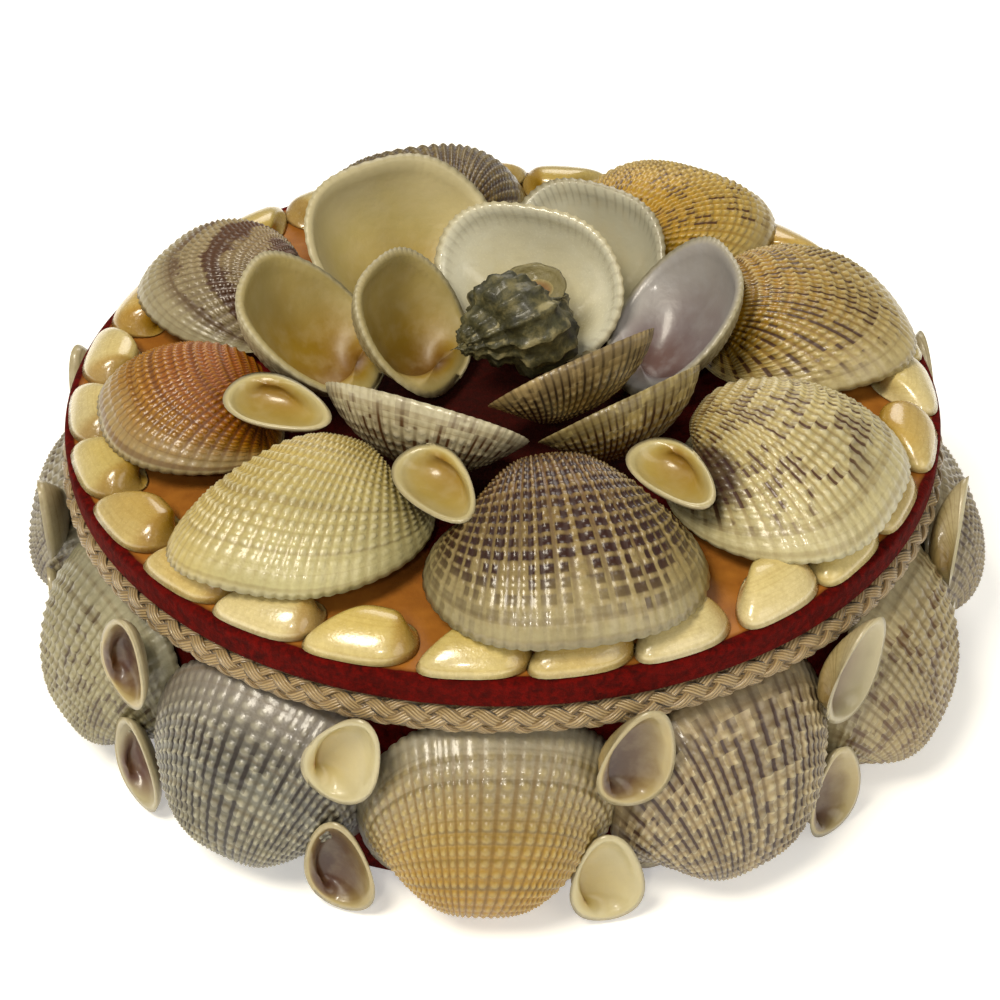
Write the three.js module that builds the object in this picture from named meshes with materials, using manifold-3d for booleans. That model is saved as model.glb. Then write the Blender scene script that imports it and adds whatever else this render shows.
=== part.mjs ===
// Round keepsake box covered with sea shells: a velvet-covered tub with a flat lid that lifts
// off, a braided cord under the lid's edge, a ring of small wedge clams and eight large clams
// on the lid, a flower of hollow clams with a knobbed snail in its heart, and clams round the wall.
// Millimetres, +Z up. The origin is at the centre of the underside, and -Y is the front.
import * as THREE from 'three';
import { mergeVertices } from 'three/addons/utils/BufferGeometryUtils.js';
import Module from 'manifold-3d';

const wasm = await Module();
wasm.setup();

// ---------------------------------------------------------------- driving dimensions
const GAP = 0.3;                       // glue line between pieces that touch
const CORD_EASE = 0.1;                 // extra room round the cord
const LID_RADIUS = 65;
const LID_TOP = 41;                    // height of the lid's upper face
const LID_THICKNESS = 4.3;
const RIM_DROP = 5;                    // depth of the locating ring under the lid
const BOARD = 2.5;                     // thickness of the tub's wall and floor
const TUB_RADIUS = 61.5;
const TUB_TOP = LID_TOP - LID_THICKNESS - GAP;
const CORD_RADIUS = 2.1;               // half the thickness of the braid
const CORD_SIDES = 6;                  // facets round the cord
const LOCATOR_PLAY = 0.7;              // slack between the locating ring and the tub
const ROUND_SIDES = 36;                // facets round the tub, the lid and the cord's ring

const degrees = THREE.MathUtils.degToRad;

// ---------------------------------------------------------------- materials
const finish = (color, roughness) => new THREE.MeshStandardMaterial({ color, roughness, metalness: 0 });
const velvet = finish(0x7a1d12, 0.95);
const braid = finish(0xd8ccb0, 0.55);
const ivoryShell = finish(0xd9c796, 0.3);
const beadedShell = finish(0xb9a888, 0.35);
const sideShell = finish(0xaaa08c, 0.4);
const hollowShell = finish(0xc3b48a, 0.25);
const snailShell = finish(0x54533a, 0.6);

// ---------------------------------------------------------------- solids and manifolds
function toManifold(geometry) {
  const bare = geometry.clone();
  bare.deleteAttribute('normal');
  bare.deleteAttribute('uv');
  const merged = mergeVertices(bare, 1e-4);
  return new wasm.Manifold(new wasm.Mesh({
    numProp: 3,
    vertProperties: new Float32Array(merged.attributes.position.array),
    triVerts: new Uint32Array(merged.index.array),
  }));
}

function toGeometry(manifold) {
  const mesh = manifold.getMesh();
  const geometry = new THREE.BufferGeometry();
  geometry.setAttribute('position', new THREE.BufferAttribute(new Float32Array(mesh.vertProperties), 3));
  geometry.setIndex(new THREE.BufferAttribute(new Uint32Array(mesh.triVerts), 1));
  return geometry;
}

function fuse(geometries) {
  return toGeometry(geometries.map(toManifold).reduce((whole, next) => whole.add(next)));
}

// Runs over every vertex of a lathe and moves it where the rule puts it.
function reshape(geometry, rule) {
  const place = geometry.attributes.position;
  const point = new THREE.Vector3();
  for (let i = 0; i < place.count; i += 1) {
    rule(point.fromBufferAttribute(place, i));
    place.setXYZ(i, point.x, point.y, point.z);
  }
  geometry.deleteAttribute('normal');
  geometry.deleteAttribute('uv');
  return mergeVertices(geometry, 1e-4);
}

// ---------------------------------------------------------------- one valve of a clam
// Local frame: the margin lies in the plane z = 0 with its middle at the origin, the umbo
// (the beak) is towards -Y and the shell bulges towards +Z. The margin turns about the hinge
// as it shrinks towards the umbo, which is how a living shell grows.
const BEAK_INSET = 0.13;               // umbo's distance in from the hinge edge, of the height
const SPIRAL_RISE = 0.322;             // highest rise of the growth spiral, of the height

function marginPoint(around, kind) {
  const shoulder = 1 - kind.taper * Math.cos(around);
  const side = Math.sin(around);
  const fullness = 0.85 - kind.broad * Math.abs(Math.cos(around));
  const across = 0.5 * kind.width * Math.sign(side) * Math.pow(Math.abs(side), fullness) * shoulder;
  const shift = -0.5 * kind.skew * kind.width * Math.cos(around);
  return new THREE.Vector2(across + shift, -0.5 * kind.length * Math.cos(around));
}

function grownPoint(growth, around, kind) {
  const beak = marginPoint(0, kind);
  beak.y += BEAK_INSET * kind.length;
  const arm = marginPoint(around, kind).sub(beak);
  const turn = Math.log(1 / Math.max(growth, 0.05));
  const ahead = Math.max(arm.y, 0);
  const share = (ahead * growth * Math.max(Math.sin(turn), 0)) / (SPIRAL_RISE * (1 - BEAK_INSET) * kind.length);
  const rise = kind.depth * Math.pow(share, 0.75);
  const lift = 0.22 * kind.depth * (1 - growth) * (1 - growth);
  const forward = arm.y > 0 ? arm.y * Math.cos(turn) : arm.y;
  return new THREE.Vector3(beak.x + arm.x * Math.pow(growth, kind.flare), beak.y + forward * growth, rise + lift);
}

function valve(kind) {
  const profile = [new THREE.Vector2(0, 1)];
  kind.steps.forEach((growth) => profile.push(new THREE.Vector2(growth, 1)));
  profile.push(new THREE.Vector2(1, 1));
  if (!kind.filled) profile.push(new THREE.Vector2(1, -1), new THREE.Vector2(0.55, -1));
  profile.push(new THREE.Vector2(0, -1));
  const narrower = 1 - (2 * kind.wall) / kind.width;
  const shallower = 1 - kind.wall / kind.depth;
  return reshape(new THREE.LatheGeometry(profile.reverse(), kind.facets), (point) => {
    const growth = Math.min(1, Math.hypot(point.x, point.z));
    const around = growth > 0 ? Math.atan2(point.x, point.z) : 0;
    const grown = grownPoint(growth, around, kind);
    if (point.y < 0) {
      point.copy(grown);
      if (kind.filled) point.z = 0;
      else point.multiply(new THREE.Vector3(narrower, narrower, shallower));
      return;
    }
    const crest = Math.round((around / (2 * Math.PI)) * kind.facets) % 2 === 0 ? 1 : -1;
    const swell = 0.5 * kind.rib * crest * growth * (1 - Math.cos(around));
    const spread = 1 + (2 * swell) / kind.width;
    point.set(grown.x * spread, grown.y * spread, grown.z * (1 + swell / kind.depth));
  });
}

const LARGE = { taper: 0.03, skew: 0.1, broad: 0.18, flare: 0.8, wall: 1.4, rib: 0.35, facets: 18, steps: [0.4, 0.72] };
const WEDGE = { taper: 0.3, skew: 0.3, broad: 0, flare: 0.8, wall: 0.9, rib: 0, facets: 9, steps: [0.46], depth: 3.6 };

// ---------------------------------------------------------------- seats
// A spoke is the upright plane through the axis at one azimuth: +X runs outwards, +Z up.
// tilt lifts the line from the umbo to the open edge; hollow shells show their inside.
function seat({ azimuth, reach, height, tilt, yaw = 0, spin = 0, hollow = false }) {
  const pitch = degrees(tilt);
  const across = new THREE.Vector3(0, -1, 0);
  const along = new THREE.Vector3(Math.cos(pitch), 0, Math.sin(pitch));
  const basis = new THREE.Matrix4().makeBasis(across, along, new THREE.Vector3().crossVectors(across, along));
  return new THREE.Matrix4().makeRotationZ(degrees(azimuth))
    .multiply(new THREE.Matrix4().makeTranslation(reach, 0, height))
    .multiply(new THREE.Matrix4().makeRotationZ(degrees(yaw)))
    .multiply(basis)
    .multiply(new THREE.Matrix4().makeRotationY(hollow ? Math.PI : 0))
    .multiply(new THREE.Matrix4().makeRotationZ(degrees(spin)));
}

const shellBox = new THREE.Group();

function addPiece(name, geometry, material, matrix = new THREE.Matrix4()) {
  const mesh = new THREE.Mesh(geometry, material);
  mesh.name = name;
  mesh.applyMatrix4(matrix);
  shellBox.add(mesh);
  return mesh;
}

const numbered = (name, index) => `${name}_${String(index + 1).padStart(2, '0')}`;
const ring = (count, step) => Array.from({ length: count }, (_, index) => step(index));

// ---------------------------------------------------------------- tub, lid and cord
function turned(outline) {
  const lathe = new THREE.LatheGeometry(outline.map(([r, z]) => new THREE.Vector2(r, z)), ROUND_SIDES);
  return reshape(lathe, (point) => point.set(point.x, -point.z, point.y));
}

function addTub() {
  const bore = TUB_RADIUS - BOARD;
  const outline = [[0, 0], [TUB_RADIUS, 0], [TUB_RADIUS, TUB_TOP], [bore, TUB_TOP], [bore, BOARD], [0, BOARD]];
  addPiece('tub', turned(outline), velvet);
}

function addLid() {
  const under = LID_TOP - LID_THICKNESS;
  const locator = TUB_RADIUS - BOARD - LOCATOR_PLAY;
  const hollow = locator - BOARD;
  const outline = [
    [0, under], [hollow, under], [hollow, under - RIM_DROP], [locator, under - RIM_DROP],
    [locator, under], [LID_RADIUS, under], [LID_RADIUS, LID_TOP], [0, LID_TOP],
  ];
  addPiece('lid', turned(outline), velvet);
}

function addCord() {
  const centre = TUB_RADIUS + GAP + CORD_EASE + CORD_RADIUS;
  const level = TUB_TOP - CORD_EASE - CORD_RADIUS;
  const section = ring(CORD_SIDES + 1, (i) => {
    const turn = (2 * Math.PI * i) / CORD_SIDES;
    return [centre + CORD_RADIUS * Math.cos(turn), level + CORD_RADIUS * Math.sin(turn)];
  });
  addPiece('braided_cord', turned(section), braid);
}

addTub();
addLid();
addCord();

// ---------------------------------------------------------------- shells on the lid
const RIM_COUNT = 27;
const RIM_PER_ARC = 3;                 // neighbours that touch and make one piece
const RIM_SPACING = 12.9;              // degrees between the shells of one arc
const RIM_START = -93;
const RIM_REACH = 59.6;                // from the axis to the middle of a rim shell
const RIM_SHELL = { ...WEDGE, broad: 0.25, width: 13.8, length: 9.6, depth: 3.8, filled: true, facets: 8 };

function addRimShells() {
  const pitch = 360 / RIM_COUNT;
  for (let arc = 0; arc < RIM_COUNT / RIM_PER_ARC; arc += 1) {
    const start = RIM_START + pitch * RIM_PER_ARC * arc;
    const shells = ring(RIM_PER_ARC, (i) => valve(RIM_SHELL).applyMatrix4(seat({
      azimuth: start + RIM_SPACING * i, reach: RIM_REACH, height: LID_TOP + GAP, tilt: 0,
    })));
    addPiece(numbered('rim_shells', arc), fuse(shells), ivoryShell);
  }
}

const LID_SHELLS = [
  { azimuth: -80, width: 38, length: 34, depth: 12, reach: 47.4, skew: 0 },
  { azimuth: -125, width: 31.5, length: 31, depth: 10.6, reach: 47, yaw: 14, skew: 0.25 },
  { azimuth: -165, width: 28, length: 26, depth: 9.6, reach: 46.6 },
  { azimuth: 153, width: 29, length: 29, depth: 10, reach: 47 },
  { azimuth: 107, width: 37, length: 31, depth: 10, reach: 46.5 },
  { azimuth: 56, width: 34, length: 32, depth: 10, reach: 47 },
  { azimuth: 13, width: 34, length: 33, depth: 11.5, reach: 46 },
  { azimuth: -34, width: 38, length: 33, depth: 11, reach: 47.5, yaw: 7 },
];

const LID_SHELL_SEAT = { height: LID_TOP + 3.8, tilt: 5 };
const GAP_SHELL_DEPTH = 4;
const LID_GAP_SHELLS = [
  { azimuth: -147, width: 15, length: 10, reach: 37.9, level: 12.9, tilt: -12, yaw: 45 },
  { azimuth: -103, width: 14.5, length: 9.5, reach: 39.6, level: 12.3, tilt: -22, yaw: -30 },
  { azimuth: -56.5, width: 14.5, length: 9.5, reach: 41.5, level: 10.8, tilt: -10, yaw: -75 },
];

addRimShells();
LID_SHELLS.forEach((shell, index) => {
  const place = seat({ ...LID_SHELL_SEAT, ...shell });
  addPiece(numbered('lid_shell', index), valve({ ...LARGE, ...shell }), beadedShell, place);
});
LID_GAP_SHELLS.forEach((shell, index) => {
  const place = seat({ ...shell, height: LID_TOP + shell.level, hollow: true });
  addPiece(numbered('lid_gap_shell', index), valve({ ...WEDGE, ...shell, depth: GAP_SHELL_DEPTH }), hollowShell, place);
});

// ---------------------------------------------------------------- flower and snail
const OUTER_PETALS = [
  { azimuth: -175.5, width: 25, length: 26, depth: 7.5, reach: 27.6, level: 11.8, tilt: 42, yaw: -16 },
  { azimuth: 123.5, width: 32, length: 28, depth: 9, reach: 26.5, level: 10.5, tilt: 47 },
  { azimuth: 60, width: 27, length: 22, depth: 8, reach: 25.8, level: 9, tilt: 44 },
  { azimuth: 6, width: 24, length: 25, depth: 7, reach: 25.6, level: 9.8, tilt: 42, yaw: 10 },
  { azimuth: -53, width: 24, length: 20, depth: 6.5, reach: 26.4, level: 11, tilt: 45 },
  { azimuth: -115, width: 31, length: 21, depth: 7, reach: 25, level: 10.8, tilt: 46 },
];
const INNER_PETALS = [
  { azimuth: 178, width: 22, length: 22.5, depth: 7, reach: 13, level: 11.1, tilt: 58, yaw: -26 },
  { azimuth: 72, width: 30, length: 23, depth: 8, reach: 13, level: 10.4, tilt: 60 },
  { azimuth: -54, width: 26, length: 19, depth: 6, reach: 16.2, level: 11.8, tilt: 46 },
];

const PETAL = { ...LARGE, wall: 1.2, facets: 16, rib: 0.25 };

function addPetals(name, petals) {
  petals.forEach((petal, index) => {
    const place = seat({ ...petal, height: LID_TOP + petal.level, hollow: true });
    addPiece(`${name}_${index + 1}`, valve({ ...PETAL, ...petal }), hollowShell, place);
  });
}
addPetals('outer_petal', OUTER_PETALS);
addPetals('inner_petal', INNER_PETALS);

const SNAIL = { length: 20, girth: 9.6, whorls: 3, knobs: 7, stations: 10, facets: 16, swell: 0.1, knob: 0.14 };
const SNAIL_SEAT = { azimuth: -60, reach: 2, height: LID_TOP + 10.6, tilt: -12, yaw: -92 };

// A cone from its blunt mouth end to its apex, swelling once for each turn of the coil.
function addSnail() {
  const last = SNAIL.stations - 1;
  const profile = ring(SNAIL.stations, (i) => new THREE.Vector2(i % last === 0 ? 0 : 1, i / last));
  const body = reshape(new THREE.LatheGeometry(profile, SNAIL.facets), (point) => {
    const along = point.y;
    const around = Math.atan2(point.x, point.z);
    const cone = Math.min(1, along * 8) * Math.pow(1 - along, 0.6);
    const coil = Math.cos(2 * Math.PI * SNAIL.whorls * along - around);
    const knob = Math.max(0, coil) * Math.max(0, Math.cos(SNAIL.knobs * around));
    const radius = SNAIL.girth * cone * (1 + SNAIL.swell * coil + SNAIL.knob * knob);
    const spread = point.x === 0 && point.z === 0 ? 0 : radius;
    point.set(spread * Math.sin(around), SNAIL.length * (along - 0.5), spread * Math.cos(around));
  });
  addPiece('snail_shell', body, snailShell, seat(SNAIL_SEAT));
}
addSnail();

// ---------------------------------------------------------------- shells round the wall
const SIDE_COUNT = 12;
const SIDE_START = -92;
// Degrees that each small shell sits off the middle of its gap, because they are set by hand.
const UPPER_SHIFTS = [1.2, 0, -0.6, 1.5, 0, -1.5, 1, 0, 1.2, -1, -1.5, -1];
const UPPER_TURNS = [-6, 5, 7, -4, 7, -9, 3, 8, -6, 6, -5, 5];   // and its own turn about its middle

const SIDE_SHELL = { ...LARGE, broad: 0.25, flare: 0.62, width: 35.5, length: 31.3, depth: 11.6 };
const SIDE_SPINS = [-5, 1, 3, -4, 4, -4, 4, -3, 4, -4, 3, -6];   // how far each leans from upright
const SIDE_FOOT = 0.8;                 // the large clams hang just clear of the table
const SIDE_YAW = 5;
const SMALL_SHELL = { ...WEDGE, width: 15.2, length: 11 };
const LOWER_SEAT = { reach: 70.2, height: 8.4, tilt: 90, spin: 70 };
const LOWER_SHIFT = -2;                // degrees off the middle of the gap
const UPPER_SEAT = { height: 28.5, tilt: 90 };
const UPPER_REACH = 69;
const REACH_PER_DEGREE = 0.6;          // a shell shifted back rides higher on its neighbour

function addSideShells() {
  const pitch = 360 / SIDE_COUNT;
  for (let i = 0; i < SIDE_COUNT; i += 1) {
    const azimuth = SIDE_START + pitch * i;
    const gap = azimuth + pitch / 2;
    const large = valve(SIDE_SHELL).applyMatrix4(seat({
      azimuth,
      reach: TUB_RADIUS + 2 * GAP,
      height: SIDE_FOOT + SIDE_SHELL.length / 2,
      tilt: 90,
      hollow: true,
      yaw: SIDE_YAW,
      spin: SIDE_SPINS[i],
    }));
    const low = valve(SMALL_SHELL).applyMatrix4(seat({ ...LOWER_SEAT, azimuth: gap + LOWER_SHIFT }));
    addPiece(numbered('side_shell', i), fuse([large, low]), sideShell);
    const reach = UPPER_REACH + REACH_PER_DEGREE * Math.max(0, -UPPER_SHIFTS[i]);
    const place = seat({ ...UPPER_SEAT, azimuth: gap + UPPER_SHIFTS[i], reach, spin: 90 + UPPER_TURNS[i] });
    addPiece(numbered('side_small_shell', i), valve(SMALL_SHELL), hollowShell, place);
  }
}
addSideShells();

export default shellBox;
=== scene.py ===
"""Looks of the round shell box: clams, snail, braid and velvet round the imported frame.

Shapes are worked out in millimetres and brought to metres when a piece is set in its place.
"""

import math

import bpy
from mathutils import Matrix, Vector


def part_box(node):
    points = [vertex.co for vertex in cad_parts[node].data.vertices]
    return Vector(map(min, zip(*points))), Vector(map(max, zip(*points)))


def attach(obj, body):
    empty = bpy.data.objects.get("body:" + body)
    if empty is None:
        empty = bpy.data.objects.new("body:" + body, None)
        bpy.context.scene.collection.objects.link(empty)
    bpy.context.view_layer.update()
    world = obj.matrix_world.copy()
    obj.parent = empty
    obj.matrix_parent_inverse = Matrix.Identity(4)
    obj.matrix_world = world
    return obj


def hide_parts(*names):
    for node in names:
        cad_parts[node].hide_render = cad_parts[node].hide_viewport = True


MM = 0.001
TURN = 2.0 * math.pi
BODY = "root"

# The growth of a valve follows the same rule as the solids.
BEAK_INSET = 0.13
SPIRAL_RISE = 0.322


# ---- values in a node tree
class Flow:
    """One value in a node tree. Arithmetic on it adds the maths nodes."""

    def __init__(self, tree, socket):
        self.tree = tree
        self.socket = socket

    def maths(self, operation, *others, clamp=False):
        step = self.tree.nodes.new("ShaderNodeMath")
        step.operation = operation
        step.use_clamp = clamp
        for slot, value in zip(step.inputs, (self, *others)):
            feed(self.tree, slot, value)
        return Flow(self.tree, step.outputs[0])

    def __add__(self, other):
        return self.maths("ADD", other)

    __radd__ = __add__

    def __sub__(self, other):
        return self.maths("SUBTRACT", other)

    def __rsub__(self, other):
        return self.maths("MULTIPLY_ADD", -1.0, other)

    def __mul__(self, other):
        return self.maths("MULTIPLY", other)

    __rmul__ = __mul__

    def __truediv__(self, other):
        return self.maths("DIVIDE", other)

    def __pow__(self, other):
        return self.maths("POWER", other)

    def __abs__(self):
        return self.maths("ABSOLUTE")

    def sine(self):
        return self.maths("SINE")

    def cosine(self):
        return self.maths("COSINE")

    def floor(self):
        return self.maths("FLOOR")

    def wrapped(self, length):
        return self.maths("FLOORED_MODULO", length)

    def at_least(self, other):
        return self.maths("MAXIMUM", other)

    def at_most(self, other):
        return self.maths("MINIMUM", other)

    def above(self, other):
        return self.maths("GREATER_THAN", other)

    def clipped(self):
        return self.maths("ADD", 0.0, clamp=True)

    def eased(self, low, high, start=0.0, end=1.0):
        """A smooth step from start to end while the value goes from low to high."""
        step = self.tree.nodes.new("ShaderNodeMapRange")
        step.interpolation_type = "SMOOTHSTEP"
        for slot, value in zip(step.inputs, (self, low, high, start, end)):
            feed(self.tree, slot, value)
        return Flow(self.tree, step.outputs[0])


def feed(tree, slot, value):
    if isinstance(value, Flow):
        tree.links.new(value.socket, slot)
    elif value is not None:
        slot.default_value = value


def add_node(tree, kind, feeds=None, settings=None, out=0):
    """Adds a node, sets it up, feeds its inputs by name or number and gives one output."""
    made = tree.nodes.new(kind)
    for key, value in (settings or {}).items():
        setattr(made, key, value)
    for key, value in (feeds or {}).items():
        feed(tree, made.inputs[key], value)
    return Flow(tree, made.outputs[out])


def joined(tree, x, y, z):
    return add_node(tree, "ShaderNodeCombineXYZ", {0: x, 1: y, 2: z})


def noise(tree, at, scale, detail=2.0, rough=0.5):
    """Soft noise from 0 to 1 at a vector."""
    feeds = {"Vector": at, "Scale": scale, "Detail": detail, "Roughness": rough}
    return add_node(tree, "ShaderNodeTexNoise", feeds)


def noise_along(tree, at, scale, detail=2.0):
    """Soft noise from 0 to 1 along one value."""
    feeds = {"W": at, "Scale": scale, "Detail": detail}
    return add_node(tree, "ShaderNodeTexNoise", feeds, {"noise_dimensions": "1D"})


def chance(tree, *cell):
    """One steady random value from 0 to 1 for each cell."""
    return add_node(tree, "ShaderNodeTexWhiteNoise", {"Vector": joined(tree, *cell)})


def link(thing):
    bpy.context.scene.collection.objects.link(thing)


# ---- trees that make meshes
class MeshTree:
    """A Geometry Nodes tree with named inputs, run once for each piece that it makes."""

    def __init__(self, name, inputs):
        self.tree = bpy.data.node_groups.new(name, "GeometryNodeTree")
        face = self.tree.interface
        face.new_socket(name="Geometry", in_out="INPUT", socket_type="NodeSocketGeometry")
        self.keys = {}
        self.kinds = {label: type(value) for label, value in inputs.items()}
        kinds = {float: "NodeSocketFloat", int: "NodeSocketInt"}
        for label, value in inputs.items():
            socket = face.new_socket(name=label, in_out="INPUT", socket_type=kinds[type(value)])
            socket.default_value = value
            self.keys[label] = socket.identifier
        socket = face.new_socket(name="Finish", in_out="INPUT", socket_type="NodeSocketMaterial")
        self.keys["Finish"] = socket.identifier
        face.new_socket(name="Geometry", in_out="OUTPUT", socket_type="NodeSocketGeometry")
        self.entry = self.tree.nodes.new("NodeGroupInput")

    def given(self, label):
        return Flow(self.tree, self.entry.outputs[label])

    def moved(self, geometry, position=None, offset=None):
        feeds = {"Geometry": geometry}
        if position is not None:
            feeds["Position"] = position
        if offset is not None:
            feeds["Offset"] = offset
        return add_node(self.tree, "GeometryNodeSetPosition", feeds)

    def pushed(self, geometry, distance):
        """Moves a surface along its normals."""
        normal = add_node(self.tree, "GeometryNodeInputNormal")
        feeds = {0: normal, "Scale": distance}
        offset = add_node(self.tree, "ShaderNodeVectorMath", feeds, {"operation": "SCALE"})
        return self.moved(geometry, offset=offset)

    def marked(self, geometry, **values):
        """Keeps values on the points under these names."""
        settings = {"data_type": "FLOAT", "domain": "POINT"}
        for label, value in values.items():
            feeds = {"Geometry": geometry, "Name": label, "Value": value}
            geometry = add_node(self.tree, "GeometryNodeStoreNamedAttribute", feeds, settings)
        return geometry

    def close(self, geometry):
        smooth = add_node(self.tree, "GeometryNodeSetShadeSmooth", {"Geometry": geometry})
        real = add_node(self.tree, "GeometryNodeRealizeInstances", {"Geometry": smooth})
        feeds = {"Geometry": real, "Material": self.given("Finish")}
        done = add_node(self.tree, "GeometryNodeSetMaterial", feeds)
        last = self.tree.nodes.new("NodeGroupOutput")
        feed(self.tree, last.inputs["Geometry"], done)

    def make(self, name, finish, **values):
        """Runs the tree with these values and gives the finished plain mesh, in millimetres."""
        holder = bpy.data.objects.new(name, bpy.data.meshes.new(name))
        link(holder)
        modifier = holder.modifiers.new("make", "NODES")
        modifier.node_group = self.tree
        modifier[self.keys["Finish"]] = finish
        for label, value in values.items():
            label = label.replace("_", " ")
            modifier[self.keys[label]] = self.kinds[label](value)
        graph = bpy.context.evaluated_depsgraph_get()
        mesh = bpy.data.meshes.new_from_object(holder.evaluated_get(graph))
        mesh.name = name
        bpy.data.objects.remove(holder)
        return mesh


def clam_tree():
    """One valve. Rows run from the umbo to the margin outside, and back to the umbo inside."""
    sizes = {
        "width": 30.0, "length": 28.0, "depth": 10.0, "wall": 1.2, "taper": 0.03, "skew": 0.1,
        "ribs": 40, "segments": 160, "rows": 66, "inner rows": 12, "gather": 0.25,
        "rib height": 0.5, "bead height": 0.25, "crimp": 0.3, "stops": 0.3, "warp": 0.4,
        "ridge": 0.0, "closed": 0, "broad": 0.18, "flare": 0.8, "seed": 0.0,
    }
    make = MeshTree("clam", sizes)
    tree = make.tree
    given = make.given
    width, length, depth = given("width"), given("length"), given("depth")
    segments, rows, inner_rows = given("segments"), given("rows"), given("inner rows")
    all_rows = rows + inner_rows + 1.0

    ball = {"Segments": segments, "Rings": all_rows, "Radius": 1.0}
    start = add_node(tree, "GeometryNodeMeshUVSphere", ball)
    index = add_node(tree, "GeometryNodeInputIndex")
    row = ((index - 1.0) / segments + 0.0001).floor() + 1.0
    step = (index - 1.0).wrapped(segments)
    inside = row.above(rows + 0.5)
    growth_out = row / rows
    growth_in = (all_rows - row) / inner_rows
    growth = (growth_out + inside * (growth_in - growth_out)).clipped()
    spread = step / segments * TURN
    around = spread + given("gather") * spread.sine()

    side = around.sine()
    shoulder = 1.0 - given("taper") * around.cosine()
    fullness = 0.85 - given("broad") * abs(around.cosine())
    # The power of the side is softened near the middle, so that the ribs stay evenly spaced there.
    soft = (side * side + 0.04) ** (fullness * 0.5 - 0.5)
    across = 0.5 * width * side * soft * shoulder
    lean = -0.5 * given("skew") * width
    beak_x = lean
    beak_y = (BEAK_INSET - 0.5) * length
    arm_x = across + lean * around.cosine() - beak_x
    arm_y = -0.5 * length * around.cosine() - beak_y
    curl = growth.at_least(0.05).maths("LOGARITHM", math.e) * -1.0
    ahead = arm_y.at_least(0.0)
    share = ahead * growth * curl.sine().at_least(0.0) / (SPIRAL_RISE * (1.0 - BEAK_INSET) * length)
    rise = depth * share ** 0.75
    lift = 0.22 * depth * (1.0 - growth) ** 2.0
    fold = arm_y.above(0.0)
    forward = arm_y * (1.0 + fold * (curl.cosine() - 1.0))
    x = beak_x + arm_x * growth ** given("flare")
    y = beak_y + forward * growth
    z = rise + lift

    # An angular ridge runs from the umbo to one corner of a wedge clam.
    corner = (around - 4.15).cosine().at_least(0.0) ** 8.0
    z = z + given("ridge") * corner * growth * (1.0 - growth ** 4.0) * 1.6

    wall = given("wall")
    narrower = 1.0 - inside * wall * 2.0 / width
    lower = 1.0 - inside * wall / depth
    flat = 1.0 - inside * given("closed")
    z = z * flat
    crest = abs((spread * given("ribs") * 0.5).cosine())
    ventral = (0.5 - 0.5 * spread.cosine()) ** 0.5
    scallop = 1.0 + given("crimp") * (crest - 0.6) * growth ** 10.0 * ventral / (0.5 * width)
    body = joined(tree, x * narrower * scallop, y * narrower * scallop, z * lower)
    shaped = make.moved(start, position=body)

    seed = given("seed")
    place = add_node(tree, "GeometryNodeInputPosition")
    drift = add_node(tree, "ShaderNodeVectorMath", {0: place, 1: joined(tree, seed, seed, seed)})
    swell = (noise(tree, drift, 0.09, 1.0) - 0.5) * given("warp")
    stop = (noise_along(tree, growth + seed, 9.0, 3.0) - 0.5) * given("stops")
    outside = 1.0 - inside
    bead = 0.5 + 0.5 * (row * (TURN / 3.0)).cosine()
    fade = growth.eased(0.02, 0.35, 0.15, 1.0) * growth.eased(0.78, 0.98, 1.0, 0.3) * ventral
    relief = given("rib height") * (crest - 0.55) + given("bead height") * crest * (bead - 0.4)
    push = outside * (relief * fade + stop * growth) + swell * growth
    carved = make.pushed(shaped, push)
    make.close(make.marked(carved, fan=step / segments, growth=growth, inside=inside))
    return make


# ---- seats
def seat(azimuth, reach, height, tilt, yaw=0.0, spin=0.0, hollow=False):
    """Where a valve sits, in millimetres: the same rule as the solids use."""
    pitch = math.radians(tilt)
    across = Vector((0.0, -1.0, 0.0))
    along = Vector((math.cos(pitch), 0.0, math.sin(pitch)))
    basis = Matrix((across, along, across.cross(along))).transposed().to_4x4()
    return (
        Matrix.Rotation(math.radians(azimuth), 4, "Z")
        @ Matrix.Translation((reach, 0.0, height))
        @ Matrix.Rotation(math.radians(yaw), 4, "Z")
        @ basis
        @ Matrix.Rotation(math.pi if hollow else 0.0, 4, "Y")
        @ Matrix.Rotation(math.radians(spin), 4, "Z")
    )


def corners(meshes):
    points = [v.co for mesh in meshes for v in mesh.vertices]
    low = Vector([min(p[i] for p in points) for i in range(3)])
    high = Vector([max(p[i] for p in points) for i in range(3)])
    return low, high


def settle(meshes, nodes):
    """Moves meshes together so that the middle of their box is the middle of the nodes' box."""
    boxes = [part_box(node) for node in nodes]
    low = Vector([min(b[0][i] for b in boxes) for i in range(3)])
    high = Vector([max(b[1][i] for b in boxes) for i in range(3)])
    mine = corners(meshes)
    shift = (low + high - mine[0] - mine[1]) * 0.5
    for mesh in meshes:
        mesh.transform(Matrix.Translation(shift))


def fill_room(mesh, node):
    """Grows a mesh about the middle of its node's box until its tightest side fills the box."""
    low, high = (Vector(end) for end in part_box(node))
    mine = corners([mesh])
    share = [(high[i] - low[i]) / (mine[1][i] - mine[0][i]) for i in range(3)]
    middle = (low + high) * 0.5
    grow = Matrix.Diagonal((*[min(value, 1.25) for value in share], 1.0))
    mesh.transform(Matrix.Translation(middle) @ grow @ Matrix.Translation(-middle))


def show(mesh, name, nodes):
    """Puts a finished mesh in the scene as the piece that stands for these nodes."""
    piece = bpy.data.objects.new(name, mesh)
    mesh.name = name
    link(piece)
    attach(piece, BODY)
    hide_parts(*nodes)
    return piece


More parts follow.
